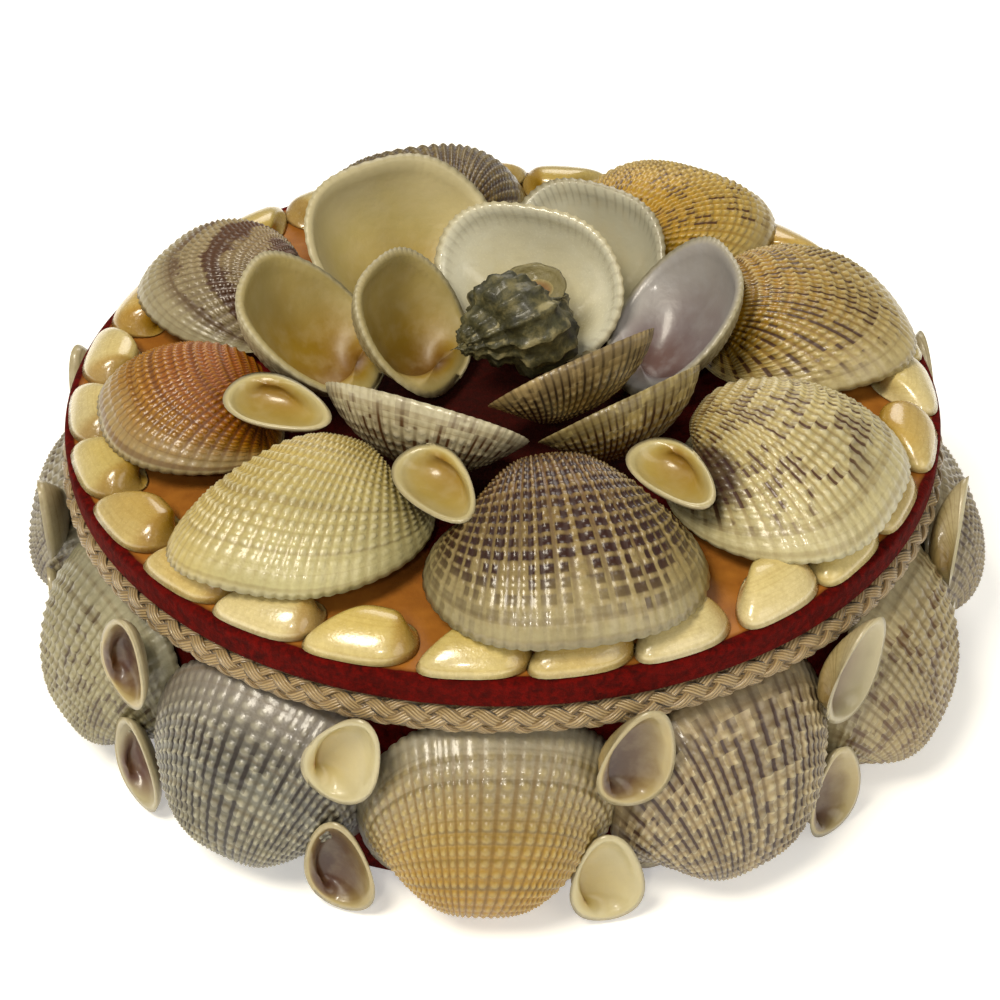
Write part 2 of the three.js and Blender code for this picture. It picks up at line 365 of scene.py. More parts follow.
def merged(meshes, name):
    """One mesh from several, with their attributes and finishes kept."""
    holders = []
    for mesh in meshes:
        holder = bpy.data.objects.new(name, mesh)
        link(holder)
        holders.append(holder)
    with bpy.context.temp_override(active_object=holders[0], selected_editable_objects=holders):
        bpy.ops.object.join()
    whole = holders[0].data
    bpy.data.objects.remove(holders[0])
    whole.name = name
    return whole


# ---- finishes
def paint(red, green, blue):
    """A colour named as it shows on a screen, 0 to 255, brought to linear light."""
    parts = []
    for part in (red, green, blue):
        share = part / 255.0
        parts.append(share / 12.92 if share <= 0.04045 else ((share + 0.055) / 1.055) ** 2.4)
    return (*parts, 1.0)


def blended(tree, share, first, second, way="MIX"):
    """Mixes two colours. Each is a value in the tree, or red, green and blue from 0 to 255."""
    first, second = (side if isinstance(side, Flow) else paint(*side) for side in (first, second))
    feeds = {0: share, 6: first, 7: second}
    settings = {"data_type": "RGBA", "blend_type": way}
    return add_node(tree, "ShaderNodeMix", feeds, settings, out=2)


def graded(tree, value, stops):
    """Colours along a value: each stop is its place, red, green and blue."""
    ramp = tree.nodes.new("ShaderNodeValToRGB")
    feed(tree, ramp.inputs[0], value)
    bands = ramp.color_ramp.elements
    while len(bands) < len(stops):
        bands.new(1.0)
    for band, (place, *colour) in zip(bands, stops):
        band.position = place
        band.color = paint(*colour)
    return Flow(tree, ramp.outputs[0])


def attribute(tree, label):
    return add_node(tree, "ShaderNodeAttribute", settings={"attribute_name": label}, out=2)


def new_finish(name):
    material = bpy.data.materials.new(name)
    material.use_nodes = True
    material.node_tree.nodes.clear()
    return material, material.node_tree


def object_place(tree):
    return add_node(tree, "ShaderNodeTexCoord", out=3)


def raised(tree, height, distance, strength):
    feeds = {"Height": height, "Distance": distance, "Strength": strength}
    return add_node(tree, "ShaderNodeBump", feeds)


def surface(tree, colour, roughness, normal, **constants):
    """The last shader. Constants are set on its own sockets."""
    shader = tree.nodes.new("ShaderNodeBsdfPrincipled")
    feed(tree, shader.inputs["Base Color"], colour)
    feed(tree, shader.inputs["Roughness"], roughness)
    feed(tree, shader.inputs["Normal"], normal)
    for label, value in constants.items():
        shader.inputs[label.replace("_", " ")].default_value = value
    last = tree.nodes.new("ShaderNodeOutputMaterial")
    tree.links.new(shader.outputs[0], last.inputs["Surface"])


def clam_finish(name, look, kind, seed):
    """Outside: bands along the growth, beads on the ribs, dark grooves, spots. Inside: a lining."""
    material, tree = new_finish(name)
    ribs, rows = kind["ribs"], kind["rows"]
    place = object_place(tree)
    fan = attribute(tree, "fan")
    growth = attribute(tree, "growth")
    inside = attribute(tree, "inside")
    patch = joined(tree, fan * 9.0, growth * 5.0, seed + 7.0)
    patch_noise = noise(tree, patch, 1.0, 3.0)
    speckle = noise(tree, place, 1400.0, 2.0)
    crest = abs((fan * (math.pi * ribs)).cosine())
    bead = 0.5 + 0.5 * (growth * (TURN * rows / 3.0)).cosine()
    worn = growth.eased(0.76, 0.97, 1.0, 0.25) * (0.0 if look.get("plain") else 1.0)
    groove = (1.0 - crest).eased(0.35, 0.85) * worn
    bead_top = (crest * (0.35 + 0.65 * bead)).eased(0.35, 0.95) * worn

    drift = growth + (patch_noise - 0.5) * look.get("drift", 0.16)
    colour = graded(tree, drift, look["bands"])
    if "side" in look:
        *side_colour, start, end, amount = look["side"]
        colour = blended(tree, fan.eased(start, end) * amount, colour, side_colour)
    lines = noise_along(tree, growth + seed, 26.0, 2.0).eased(0.5, 0.68)
    *line_colour, line_share = look.get("lines", (128, 108, 74, 0.35))
    colour = blended(tree, lines * line_share, colour, line_colour)
    *groove_colour, groove_share = look.get("groove", (96, 78, 52, 0.55))
    colour = blended(tree, groove * groove_share, colour, groove_colour)
    *bead_colour, bead_share = look.get("bead", (232, 226, 206, 0.5))
    colour = blended(tree, bead_top * bead_share, colour, bead_colour)
    level = (growth * (rows / 3.0)).floor()
    if "spots" in look:
        *spot_colour, cover, low, high, on_ribs = look["spots"]
        cell = chance(tree, (fan * ribs).floor(), level, seed)
        zone = growth.eased(low - 0.12, low + 0.08) * (1.0 - growth.eased(high - 0.12, high + 0.08))
        field = noise(tree, joined(tree, fan * 14.0, growth * 9.0, seed + 3.0), 1.0, 2.0)
        region = (field + (cell - 0.5) * 0.45).eased(0.64 - cover * 0.35, 0.7 - cover * 0.35)
        share = region * zone * (groove * (1.0 - on_ribs) * 1.6 + on_ribs * 1.3).clipped()
        colour = blended(tree, share * 0.95, colour, spot_colour)
    if "lattice" in look:
        *dark, rays, low, high, cover = look["lattice"]
        gap = abs((fan * (math.pi * rays)).cosine()).eased(0.86, 0.97)
        cell = chance(tree, (fan * rays + 0.5).floor(), level, seed)
        end = (growth + (patch_noise - 0.5) * 0.3).eased(high - 0.12, high + 0.14, 1.0, 0.0)
        zone = growth.eased(low - 0.1, low + 0.1) * end
        taken = (cell * 0.9 + zone * 0.35).eased(1.1 - cover, 1.2 - cover)
        share = (1.0 - gap) * zone * taken * bead.eased(0.5, 1.0, 1.0, 0.15)
        colour = blended(tree, share, colour, dark)
    if "zigzag" in look:
        *zigzag_colour, count, low, high = look["zigzag"]
        tooth = abs((fan * 44.0).wrapped(1.0) - 0.5)
        wave = (growth + tooth * 0.05 + (patch_noise - 0.5) * 0.25) * (TURN * count)
        zone = growth.eased(low - 0.1, low + 0.1) * (1.0 - growth.eased(high - 0.1, high + 0.1))
        colour = blended(tree, wave.sine().eased(-0.1, 0.5) * zone * 0.85, colour, zigzag_colour)
    if "blotch" in look:
        *blotch_colour, fan_at, growth_at, spread = look["blotch"]
        away = ((fan - fan_at) * 3.0) ** 2.0 + (growth - growth_at) * (growth - growth_at)
        near = 1.0 - (away + (patch_noise - 0.5) * 0.12).eased(spread * spread * 0.3, spread * spread)
        colour = blended(tree, near * 0.85, colour, blotch_colour)
    colour = blended(tree, (speckle - 0.35).clipped() * 0.5, colour, (150, 132, 96), "MULTIPLY")

    lining_drift = growth + (noise(tree, place, 130.0, 2.0) - 0.5) * 0.35
    lining = graded(tree, lining_drift, look.get("lining", LINING_CREAM))
    if "lining ribs" in look:
        *edge_colour, edge_share = look["lining ribs"]
        edge = growth.eased(0.86, 0.97) * groove
        lining = blended(tree, edge * edge_share, lining, edge_colour)
    haze = noise(tree, place, 420.0, 3.0).eased(0.4, 0.75) * 0.22
    lining = blended(tree, haze, lining, look.get("lining cloud", (228, 214, 180)))
    colour = blended(tree, inside, colour, lining)
    tone = noise(tree, place, 60.0, 2.0).eased(0.3, 0.7, 0.86, 1.08)
    feeds = {"Color": colour, "Value": tone * look.get("tone", 1.0) * 0.6, "Saturation": 1.25}
    value = add_node(tree, "ShaderNodeHueSaturation", feeds)
    fine = noise(tree, place, 2600.0, 2.0)
    roughness = look.get("rough", 0.34) + groove * (1.0 - inside) * 0.22 + (fine - 0.5) * 0.12
    chalk = noise(tree, place, 700.0, 4.0)
    small = (bead_top * 0.7 + fine * 0.3) * (1.0 - inside) + inside * chalk * 0.55
    normal = raised(tree, small, 0.00022, 0.7)
    surface(tree, value, roughness, normal, Coat_Weight=look.get("varnish", 0.3),
            Coat_Roughness=look.get("varnish rough", 0.12), Specular_IOR_Level=0.5)
    return material


def velvet_finish():
    """Red velvet with a nap that catches the light, painted shade near the middle of the lid, and amber
    glue where shells are set in it.
    """
    material, tree = new_finish("red_velvet")
    place = object_place(tree)
    glue = attribute(tree, "glue")
    nap = noise(tree, place, 900.0, 4.0, 0.7)
    cloud = noise(tree, place, 90.0, 2.0)
    red = blended(tree, nap.eased(0.3, 0.72), (48, 2, 0), (96, 5, 1))
    red = blended(tree, cloud.eased(0.4, 0.7) * 0.35, red, (80, 8, 4))
    # Painted shade: the velvet darkens to near black towards the middle of the box, where the petals and
    # the snail shade the lid top.
    middle = add_node(tree, "ShaderNodeVectorMath", {0: place}, {"operation": "LENGTH"}, out=1)
    red = blended(tree, middle.eased(0.046, 0.056, 0.75, 0.0), red, (26, 7, 4))
    pool = (noise(tree, place, 160.0, 3.0) + glue * 0.7 - 0.3).eased(0.42, 0.6) * glue
    amber = blended(tree, noise(tree, place, 300.0, 2.0), (176, 116, 46), (116, 66, 24))
    colour = blended(tree, pool, red, amber)
    roughness = 0.92 - pool * 0.62
    normal = raised(tree, nap * (1.0 - pool * 0.8), 0.0005, 0.8)
    surface(tree, colour, roughness, normal, Sheen_Weight=0.06, Sheen_Roughness=0.4,
            Sheen_Tint=paint(196, 60, 40), Specular_IOR_Level=0.1)
    return material


def braid_finish():
    """Glossy cream thread: several fine threads lie side by side in each strand, with painted shade along
    the edges of each strand.
    """
    material, tree = new_finish("cream_braid")
    place = object_place(tree)
    across = attribute(tree, "across")
    along = attribute(tree, "along")
    thread = abs((across * 7.0 + along * 2.0).sine())
    fray = noise(tree, joined(tree, across * 6.0, along * 30.0, 0.0), 1.0, 3.0)
    # Painted shade: each strand darkens towards its two edges, where it meets the strands beside it.
    edge = abs(across).eased(0.55, 1.0)
    colour = blended(tree, thread, (112, 90, 56), (158, 136, 96))
    colour = blended(tree, noise(tree, place, 70.0, 2.0).eased(0.35, 0.7) * 0.4, colour, (150, 124, 82))
    colour = blended(tree, fray.eased(0.55, 0.8) * 0.3, colour, (226, 216, 184))
    # The painted shade along the strand edges is mixed in here.
    colour = blended(tree, edge * 0.65, colour, (112, 88, 56))
    normal = raised(tree, thread, 0.0002, 0.7)
    surface(tree, colour, 0.3, normal, Sheen_Weight=0.15, Sheen_Roughness=0.4, Specular_IOR_Level=0.6)
    return material


# ---- braid and snail trees
def closed_grid(make, columns, rows):
    """A sheet whose two edges are merged later: gives it with its column and row counts."""
    feeds = {"Size X": 1.0, "Size Y": 1.0, "Vertices X": columns + 1.0, "Vertices Y": rows + 1.0}
    sheet = add_node(make.tree, "GeometryNodeMeshGrid", feeds)
    index = add_node(make.tree, "GeometryNodeInputIndex")
    row = index.wrapped(rows + 1.0)
    column = ((index - row) / (rows + 1.0) + 0.0001).floor()
    return sheet, column, row


def sewn(make, geometry):
    return add_node(make.tree, "GeometryNodeMergeByDistance", {"Geometry": geometry, "Distance": 0.0005})


def strand_tree():
    """One flat strand of a round braid, wound round a ring and passing over and under the others."""
    sizes = {
        "ring radius": 64.0, "level": 34.2, "lay radius": 1.4, "weave": 0.3, "turns": 22,
        "way": 1.0, "start": 0.0, "half width": 0.95, "half height": 0.42,
        "columns": 800, "rows": 6,
    }
    make = MeshTree("strand", sizes)
    tree = make.tree
    given = make.given
    sheet, column, row = closed_grid(make, given("columns"), given("rows"))
    bearing = column.wrapped(given("columns")) / given("columns") * TURN
    lay = bearing * given("turns")
    section = row.wrapped(given("rows")) / given("rows") * TURN
    twist = lay * given("way") + given("start")
    lay_radius = given("lay radius") + given("weave") * given("way") * (lay * 4.0).cosine()
    slope = lay_radius * given("way") * given("turns") / given("ring radius")
    stretch = (slope * slope + 1.0) ** 0.5
    wide = given("half width") * section.cosine()
    high = given("half height") * section.sine()
    along = wide * slope / stretch * -1.0
    around = wide / stretch
    out = (lay_radius + high) * twist.cosine() - around * twist.sine()
    up = (lay_radius + high) * twist.sine() + around * twist.cosine()
    reach = given("ring radius") + out
    x = reach * bearing.cosine() - along * bearing.sine()
    y = reach * bearing.sine() + along * bearing.cosine()
    shaped = make.moved(sheet, position=joined(tree, x, y, given("level") + up))
    shaped = make.marked(shaped, across=section.cosine(), along=lay * 0.5)
    make.close(sewn(make, shaped))
    return make


# bearing round the tube in radians, share of the knob height
KNOB_ROWS = [(1.35, 0.9), (0.7, 1.5), (0.05, 1.0), (-0.6, 1.1), (-1.25, 0.8)]


def snail_tree():
    """A knobbed spire: a tube that grows by the same share at every turn, with a turned-in mouth."""
    sizes = {
        "length": 20.0, "girth": 9.4, "whorls": 3.7, "growth": 1.7, "tube": 0.6, "facing": 2.1,
        "knobs": 13.0, "knob height": 1.2, "columns": 360, "rows": 48, "lip": 14,
    }
    make = MeshTree("snail", sizes)
    tree = make.tree
    given = make.given
    lip, columns = given("lip"), given("columns")
    sheet, column, row = closed_grid(make, columns, given("rows"))
    inner = ((column - columns + lip) / lip).clipped()
    outer = (column / (columns - lip)).at_most(1.0)
    coil = outer * given("whorls")
    size = given("growth") ** (coil - given("whorls")) * outer.eased(0.0, 0.06)
    turn = coil * TURN + inner * -0.35 + given("facing")
    section = row.wrapped(given("rows")) / given("rows") * TURN
    tube = given("girth") * given("tube")
    centre = (given("girth") - tube) * size
    drop = (given("length") - tube) * size
    beat = (coil * given("knobs") * TURN).cosine().at_least(0.0) ** 2.0
    row_knobs = 0.0
    for bearing, share in KNOB_ROWS:
        row_knobs = (section - bearing).cosine().at_least(0.0) ** 26.0 * share + row_knobs
    cords = (section * 9.0).cosine() * 0.02
    lip_band = outer.eased(0.955, 0.985)
    knob = given("knob height") / given("girth") * beat * row_knobs * (1.0 - lip_band)
    thick = tube * size * (1.0 + (knob * 1.7 + cords) * (1.0 - inner)) * (1.0 - 0.22 * lip_band)
    thick = thick * (1.0 - inner * inner * 0.98) * (1.0 - inner.eased(0.0, 0.12) * 0.1)
    out = centre + thick * section.cosine()
    rise = thick * section.sine()
    x = out * turn.cosine()
    z = out * turn.sine()
    y = given("length") * 0.5 - drop + rise
    shaped = make.moved(sheet, position=joined(tree, x, y, z))
    place = add_node(tree, "GeometryNodeInputPosition")
    push = (noise(tree, place, 1.1, 3.0) - 0.5) * 0.6 * (1.0 - inner)
    rough = make.pushed(sewn(make, shaped), push)
    make.close(make.marked(rough, inside=inner, knob=beat * row_knobs, lip=lip_band))
    return make


def outward(mesh):
    """Turns the faces of a closed mesh outwards where they point in."""
    volume = 0.0
    mesh.calc_loop_triangles()
    for face in mesh.loop_triangles:
        a, b, c = (mesh.vertices[i].co for i in face.vertices)
        volume += a.dot(b.cross(c))
    if volume < 0.0:
        mesh.flip_normals()
    return mesh


def snail_finish():
    """Dark olive crust with pale worn knobs, and an orange-brown mouth."""
    material, tree = new_finish("snail_crust")
    place = object_place(tree)
    inside = attribute(tree, "inside")
    knob = attribute(tree, "knob")
    lip = attribute(tree, "lip")
    crust = noise(tree, place, 420.0, 4.0, 0.65)
    patch = noise(tree, place, 170.0, 2.0)
    stops = [(0.3, 30, 30, 16), (0.5, 60, 58, 32), (0.72, 112, 104, 66)]
    colour = graded(tree, crust, stops)
    colour = blended(tree, patch.eased(0.5, 0.7) * 0.4, colour, (80, 82, 54))
    bare = (knob * 0.9 + (crust - 0.5) * 0.8).eased(0.35, 0.9)
    colour = blended(tree, bare * 0.6, colour, (160, 150, 110))
    colour = blended(tree, lip * 0.75, colour, (122, 112, 70))
    mouth = graded(tree, inside, [(0.0, 140, 128, 82), (0.12, 124, 96, 52),
                                  (0.3, 98, 56, 26), (0.7, 44, 22, 12)])
    colour = blended(tree, inside.above(0.001), colour, mouth)
    roughness = 0.62 - inside * 0.25 + (crust - 0.5) * 0.2
    normal = raised(tree, crust, 0.0006, 0.9)
    surface(tree, colour, roughness, normal, Coat_Weight=0.25, Coat_Roughness=0.2, Specular_IOR_Level=0.5)
    return material


# ---- turned velvet pieces
def eased_corners(outline, radii, steps=4):
    """Rounds the corners of an outline of (radius, height) points."""
    path = []
    last = len(outline) - 1
    for i, point in enumerate(outline):
        here = Vector(point)
        if radii[i] == 0.0 or i in (0, last):
            path.append(here)
            continue
        back = (Vector(outline[i - 1]) - here).normalized() * radii[i]
        on = (Vector(outline[i + 1]) - here).normalized() * radii[i]
        for k in range(steps + 1):
            t = k / steps
            path.append(here + back * (1.0 - t) ** 2 + on * t ** 2)
    return path


def turned(outline, glue, sides=144):
    """A solid turned about the upright axis. The outline starts and ends on the axis."""
    points = [(0.0, 0.0, outline[0].y)]
    for r, z in outline[1:-1]:
        for k in range(sides):
            turn = TURN * k / sides
            points.append((r * math.cos(turn), r * math.sin(turn), z))
    points.append((0.0, 0.0, outline[-1].y))
    loops = len(outline) - 2
    last = len(points) - 1
    faces = []
    for k in range(sides):
        on = (k + 1) % sides
        faces.append((0, 1 + k, 1 + on))
        for j in range(loops - 1):
            a = 1 + j * sides
            faces.append((a + k, a + sides + k, a + sides + on, a + on))
        a = 1 + (loops - 1) * sides
        faces.append((a + on, a + k, last))
    mesh = bpy.data.meshes.new("turned")
    mesh.from_pydata([Vector(p) for p in points], [], faces)
    layer = mesh.attributes.new("glue", "FLOAT", "POINT")
    for vertex in mesh.vertices:
        layer.data[vertex.index].value = glue(vertex.co)
    mesh.shade_smooth()
    return outward(mesh)


# ---- looks of the shells
# Bands and linings run from the beak to the margin: place, red, green, blue from 0 to 255.
# A mark starts with its red, green and blue. After them stand, for
# lines, groove, bead and lining ribs: how strong;
# side: where it starts and ends across the fan, how strong;
# spots: cover, start and end along the growth, share on the ribs;
# lattice: rays, start and end along the growth, cover;
# zigzag: how many, start and end along the growth;
# blotch: place across the fan, place along the growth, size.
LINING_CREAM = [(0.0, 140, 104, 50), (0.3, 190, 166, 108), (0.7, 214, 200, 150),
                (0.95, 226, 216, 180)]
LINING_YELLOW = [(0.0, 96, 64, 34), (0.22, 142, 108, 62), (0.5, 178, 150, 88),
                 (0.92, 206, 190, 140)]
LINING_MAUVE = [(0.0, 92, 70, 54), (0.25, 116, 92, 88), (0.5, 150, 138, 140),
                (0.9, 190, 186, 184)]
LINING_WHITE = [(0.0, 176, 156, 110), (0.3, 210, 200, 162), (0.9, 232, 230, 212)]

LID_LOOKS = [
    {"bands": [(0.0, 124, 92, 60), (0.4, 150, 116, 80), (0.7, 168, 148, 108), (0.9, 200, 186, 146),
     (1.0, 216, 206, 170)], "lattice": (64, 34, 24, 30.0, 0.12, 0.9, 0.72), "bead": (214, 194, 152, 0.55),
     "side": (190, 170, 118, 0.62, 0.74, 0.7), "tone": 0.78, "groove": (104, 74, 54, 0.45)},
    {"bands": [(0.0, 196, 170, 106), (0.5, 206, 192, 140), (1.0, 212, 206, 166)],
     "side": (200, 174, 112, 0.6, 0.3, 0.5), "bead": (236, 230, 200, 0.55), "groove": (150, 130, 84, 0.45),
     "tone": 1.15},
    {"bands": [(0.0, 132, 70, 32), (0.35, 168, 96, 46), (0.66, 176, 112, 60), (0.82, 184, 148, 100),
     (1.0, 196, 184, 150)], "bead": (216, 170, 112, 0.45), "groove": (100, 52, 22, 0.6),
     "lines": (108, 60, 28, 0.5)},
    {"bands": [(0.0, 128, 100, 74), (0.5, 168, 150, 120), (1.0, 196, 188, 160)],
     "zigzag": (82, 46, 34, 4.0, 0.2, 0.8), "bead": (200, 186, 154, 0.35), "groove": (96, 72, 52, 0.45)},
    {"bands": [(0.0, 116, 92, 62), (0.5, 136, 116, 80), (1.0, 160, 148, 114)],
     "spots": (74, 52, 36, 0.7, 0.2, 0.95, 0.35), "bead": (176, 162, 124, 0.35),
     "groove": (84, 66, 44, 0.5)},
    {"bands": [(0.0, 196, 152, 82), (0.5, 210, 176, 108), (0.8, 212, 188, 128), (1.0, 206, 190, 146)],
     "spots": (84, 52, 32, 0.28, 0.3, 0.98, 0.2), "bead": (232, 210, 152, 0.45),
     "groove": (156, 116, 62, 0.4), "tone": 1.12},
    {"bands": [(0.0, 180, 134, 62), (0.35, 190, 152, 88), (0.7, 188, 166, 116), (1.0, 200, 188, 150)],
     "spots": (72, 46, 34, 0.42, 0.3, 0.95, 0.2), "bead": (228, 214, 170, 0.6),
     "groove": (120, 90, 54, 0.5), "tone": 1.1},
    {"bands": [(0.0, 186, 160, 108), (0.5, 208, 194, 148), (1.0, 218, 210, 174)],
     "spots": (80, 50, 38, 0.34, 0.2, 0.9, 0.3), "bead": (238, 232, 204, 0.55),
     "blotch": (60, 36, 36, 0.16, 0.5, 0.34), "groove": (140, 116, 76, 0.5), "tone": 1.12},
]
SIDE_LOOKS = [
    {"bands": [(0.0, 190, 140, 62), (0.35, 196, 156, 84), (0.62, 188, 160, 104), (0.8, 178, 164, 132),
     (1.0, 186, 180, 162)], "bead": (228, 210, 158, 0.5), "groove": (132, 98, 46, 0.5),
     "lines": (112, 96, 58, 0.5)},
    {"bands": [(0.0, 150, 122, 84), (0.5, 176, 160, 126), (1.0, 180, 166, 140)],
     "spots": (58, 36, 32, 0.62, 0.1, 1.0, 0.35), "bead": (226, 216, 186, 0.65),
     "groove": (106, 86, 66, 0.55), "tone": 1.13},
    {"bands": [(0.0, 170, 146, 106), (0.6, 190, 174, 136), (1.0, 200, 190, 160)],
     "spots": (104, 76, 52, 0.3, 0.3, 0.95, 0.4), "bead": (218, 206, 168, 0.45),
     "groove": (116, 94, 62, 0.55)},
    {"bands": [(0.0, 150, 126, 90), (0.5, 168, 150, 116), (1.0, 186, 176, 148)],
     "spots": (80, 58, 44, 0.45, 0.2, 0.9, 0.3), "bead": (206, 196, 160, 0.45),
     "groove": (98, 80, 56, 0.55)},
    {"bands": [(0.0, 176, 138, 82), (0.5, 188, 160, 108), (1.0, 196, 184, 150)],
     "bead": (220, 204, 158, 0.5), "groove": (122, 92, 52, 0.5)},
    {"bands": [(0.0, 152, 134, 112), (0.6, 176, 166, 148), (1.0, 190, 184, 170)],
     "spots": (84, 62, 54, 0.4, 0.2, 0.9, 0.3), "bead": (214, 208, 190, 0.5),
     "groove": (102, 86, 74, 0.55)},
    {"bands": [(0.0, 180, 140, 76), (0.5, 190, 162, 106), (1.0, 186, 176, 150)],
     "bead": (222, 206, 158, 0.5), "groove": (126, 94, 50, 0.5)},
    {"bands": [(0.0, 160, 144, 118), (0.6, 184, 174, 150), (1.0, 194, 188, 170)],
     "zigzag": (96, 66, 52, 3.0, 0.3, 0.85), "bead": (214, 206, 182, 0.4), "groove": (104, 86, 68, 0.5)},
    {"bands": [(0.0, 166, 148, 110), (0.6, 186, 174, 138), (1.0, 196, 188, 160)],
     "bead": (220, 210, 172, 0.5), "groove": (114, 96, 64, 0.5)},
    {"bands": [(0.0, 150, 132, 104), (0.5, 168, 158, 134), (1.0, 184, 178, 158)],
     "spots": (76, 56, 46, 0.45, 0.2, 0.9, 0.3), "bead": (208, 202, 178, 0.45),
     "groove": (96, 82, 64, 0.55)},
    {"bands": [(0.0, 166, 152, 110), (0.5, 184, 176, 140), (1.0, 194, 190, 166)],
     "spots": (94, 76, 58, 0.22, 0.2, 0.9, 0.3), "bead": (224, 218, 190, 0.55),
     "groove": (116, 104, 74, 0.5), "tone": 0.92},
    {"bands": [(0.0, 168, 156, 112), (0.35, 150, 144, 116), (0.7, 138, 138, 128), (1.0, 160, 152, 144)],
     "spots": (42, 32, 28, 0.72, 0.1, 0.85, 0.3), "bead": (226, 222, 200, 0.7),
     "groove": (84, 76, 64, 0.55), "tone": 0.95},
]
PETAL_BANDS = [(0.0, 140, 108, 70), (0.6, 182, 168, 130), (1.0, 206, 198, 168)]
PETAL_LOOKS = {
    "outer_petal_1": {
        "bands": PETAL_BANDS, "lining": LINING_YELLOW, "tone": 1.05, "varnish": 0.12, "rough": 0.5,
        "varnish rough": 0.3,
    },
    "outer_petal_2": {
        "bands": PETAL_BANDS, "tone": 1.12, "varnish": 0.15, "rough": 0.45, "varnish rough": 0.3,
    },
    "outer_petal_3": {
        "bands": PETAL_BANDS, "lining": LINING_WHITE, "tone": 0.95, "lining ribs": (70, 48, 36, 0.9),
    },
    "outer_petal_4": {
        "bands": PETAL_BANDS, "lining": LINING_MAUVE, "varnish": 0.2, "rough": 0.4,
        "lining cloud": (204, 204, 208),
    },
    "outer_petal_5": {
        "bands": [(0.0, 96, 60, 32), (0.6, 156, 120, 66), (1.0, 206, 192, 146)],
        "spots": (60, 32, 20, 0.8, 0.1, 1.05, 0.32), "tone": 1.1,
    },
    "outer_petal_6": {
        "bands": [(0.0, 120, 90, 56), (0.5, 180, 166, 132), (1.0, 210, 204, 180)],
        "spots": (82, 52, 34, 0.5, 0.1, 1.02, 0.3), "tone": 1.3,
    },
    "inner_petal_1": {
        "bands": PETAL_BANDS, "lining": LINING_YELLOW, "tone": 1.0, "varnish": 0.12, "rough": 0.5,
        "varnish rough": 0.3,
    },
    "inner_petal_2": {
        "bands": PETAL_BANDS, "lining": LINING_WHITE, "varnish": 0.6, "rough": 0.26,
        "lining ribs": (104, 78, 54, 0.6), "lining cloud": (238, 238, 226), "tone": 1.2,
    },
    "inner_petal_3": {
        "bands": [(0.0, 74, 44, 32), (0.5, 108, 76, 54), (1.0, 206, 186, 148)],
        "spots": (44, 24, 18, 0.72, 0.0, 1.05, 0.3), "tone": 0.86, "bead": (236, 218, 176, 0.95),
        "groove": (40, 22, 16, 0.95),
    },
}
SMALL_BANDS = [(0.0, 170, 148, 108), (0.6, 204, 190, 152), (1.0, 220, 210, 180)]
SMALL_LININGS = [
    [(0.0, 96, 66, 44), (0.3, 84, 58, 50), (0.65, 112, 88, 66),
     (0.85, 158, 138, 100), (0.95, 204, 188, 146)],
    [(0.0, 150, 110, 62), (0.25, 206, 186, 132), (0.9, 228, 218, 180)],
    [(0.0, 96, 68, 46), (0.3, 116, 92, 86), (0.6, 168, 152, 130),
     (0.9, 214, 204, 172)],
]
GAP_LINING = [(0.0, 140, 104, 60), (0.3, 184, 156, 100), (0.7, 206, 186, 128),
              (0.92, 226, 214, 170)]
RIM_BANDS = [
    [(0.0, 196, 172, 112), (0.6, 214, 196, 140), (1.0, 222, 208, 162)],
    [(0.0, 206, 186, 132), (0.6, 220, 206, 160), (1.0, 226, 214, 176)],
    [(0.0, 184, 148, 92), (0.5, 206, 180, 124), (1.0, 216, 200, 154)],
]

# ---- where the shells sit
LID_TOP = 41.0
LID_THICKNESS = 4.3
BOARD = 2.5
LOCATOR_PLAY = 0.7
GLUE_LINE = 0.3
GLUE_START = 30.0
GLUE_SPREAD = 22.0
# azimuth, width, length, depth, reach, yaw, skew
LID_CLAMS = [
    (-80, 38, 34, 12, 47.4, 0, 0.0), (-125, 31.5, 31, 10.6, 47, 14, 0.25),
    (-165, 28, 26, 9.6, 46.6, 0, 0.1), (153, 29, 29, 10, 47, 0, 0.1),
    (107, 37, 31, 10, 46.5, 0, 0.1), (56, 34, 32, 10, 47, 0, 0.1),
    (13, 34, 33, 11.5, 46, 0, 0.1), (-34, 38, 33, 11, 47.5, 7, 0.1),
]
# azimuth, width, length, reach, level, tilt, yaw
LID_GAP_CLAMS = [
    (-147, 15, 10, 37.9, 12.9, -12, 45), (-103, 14.5, 9.5, 39.6, 12.3, -22, -30),
    (-56.5, 14.5, 9.5, 41.5, 10.8, -10, -75),
]
# azimuth, width, length, depth, reach, level, tilt, yaw
OUTER_PETALS = [
    (-175.5, 25, 26, 7.5, 27.6, 11.8, 42, -16), (123.5, 32, 28, 9, 26.5, 10.5, 47, 0),
    (60, 27, 22, 8, 25.8, 9, 44, 0), (6, 24, 25, 7, 25.6, 9.8, 42, 10),
    (-53, 24, 20, 6.5, 26.4, 11, 45, 0), (-115, 31, 21, 7, 25, 10.8, 46, 0),
]
INNER_PETALS = [
    (178, 22, 22.5, 7, 13, 11.1, 58, -26), (72, 30, 23, 8, 13, 10.4, 60, 0),
    (-54, 26, 19, 6, 16.2, 11.8, 46, 0),
]
RIM_COUNT = 27
RIM_PER_ARC = 3
RIM_SPACING = 12.9
RIM_START = -93.0
RIM_REACH = 59.6
SIDE_COUNT = 12
SIDE_START = -92.0
SIDE_SPINS = [-5, 1, 3, -4, 4, -4, 4, -3, 4, -4, 3, -6]
UPPER_SHIFTS = [1.2, 0, -0.6, 1.5, 0, -1.5, 1, 0, 1.2, -1, -1.5, -1]
UPPER_TURNS = [-6, 5, 7, -4, 7, -9, 3, 8, -6, 6, -5, 5]

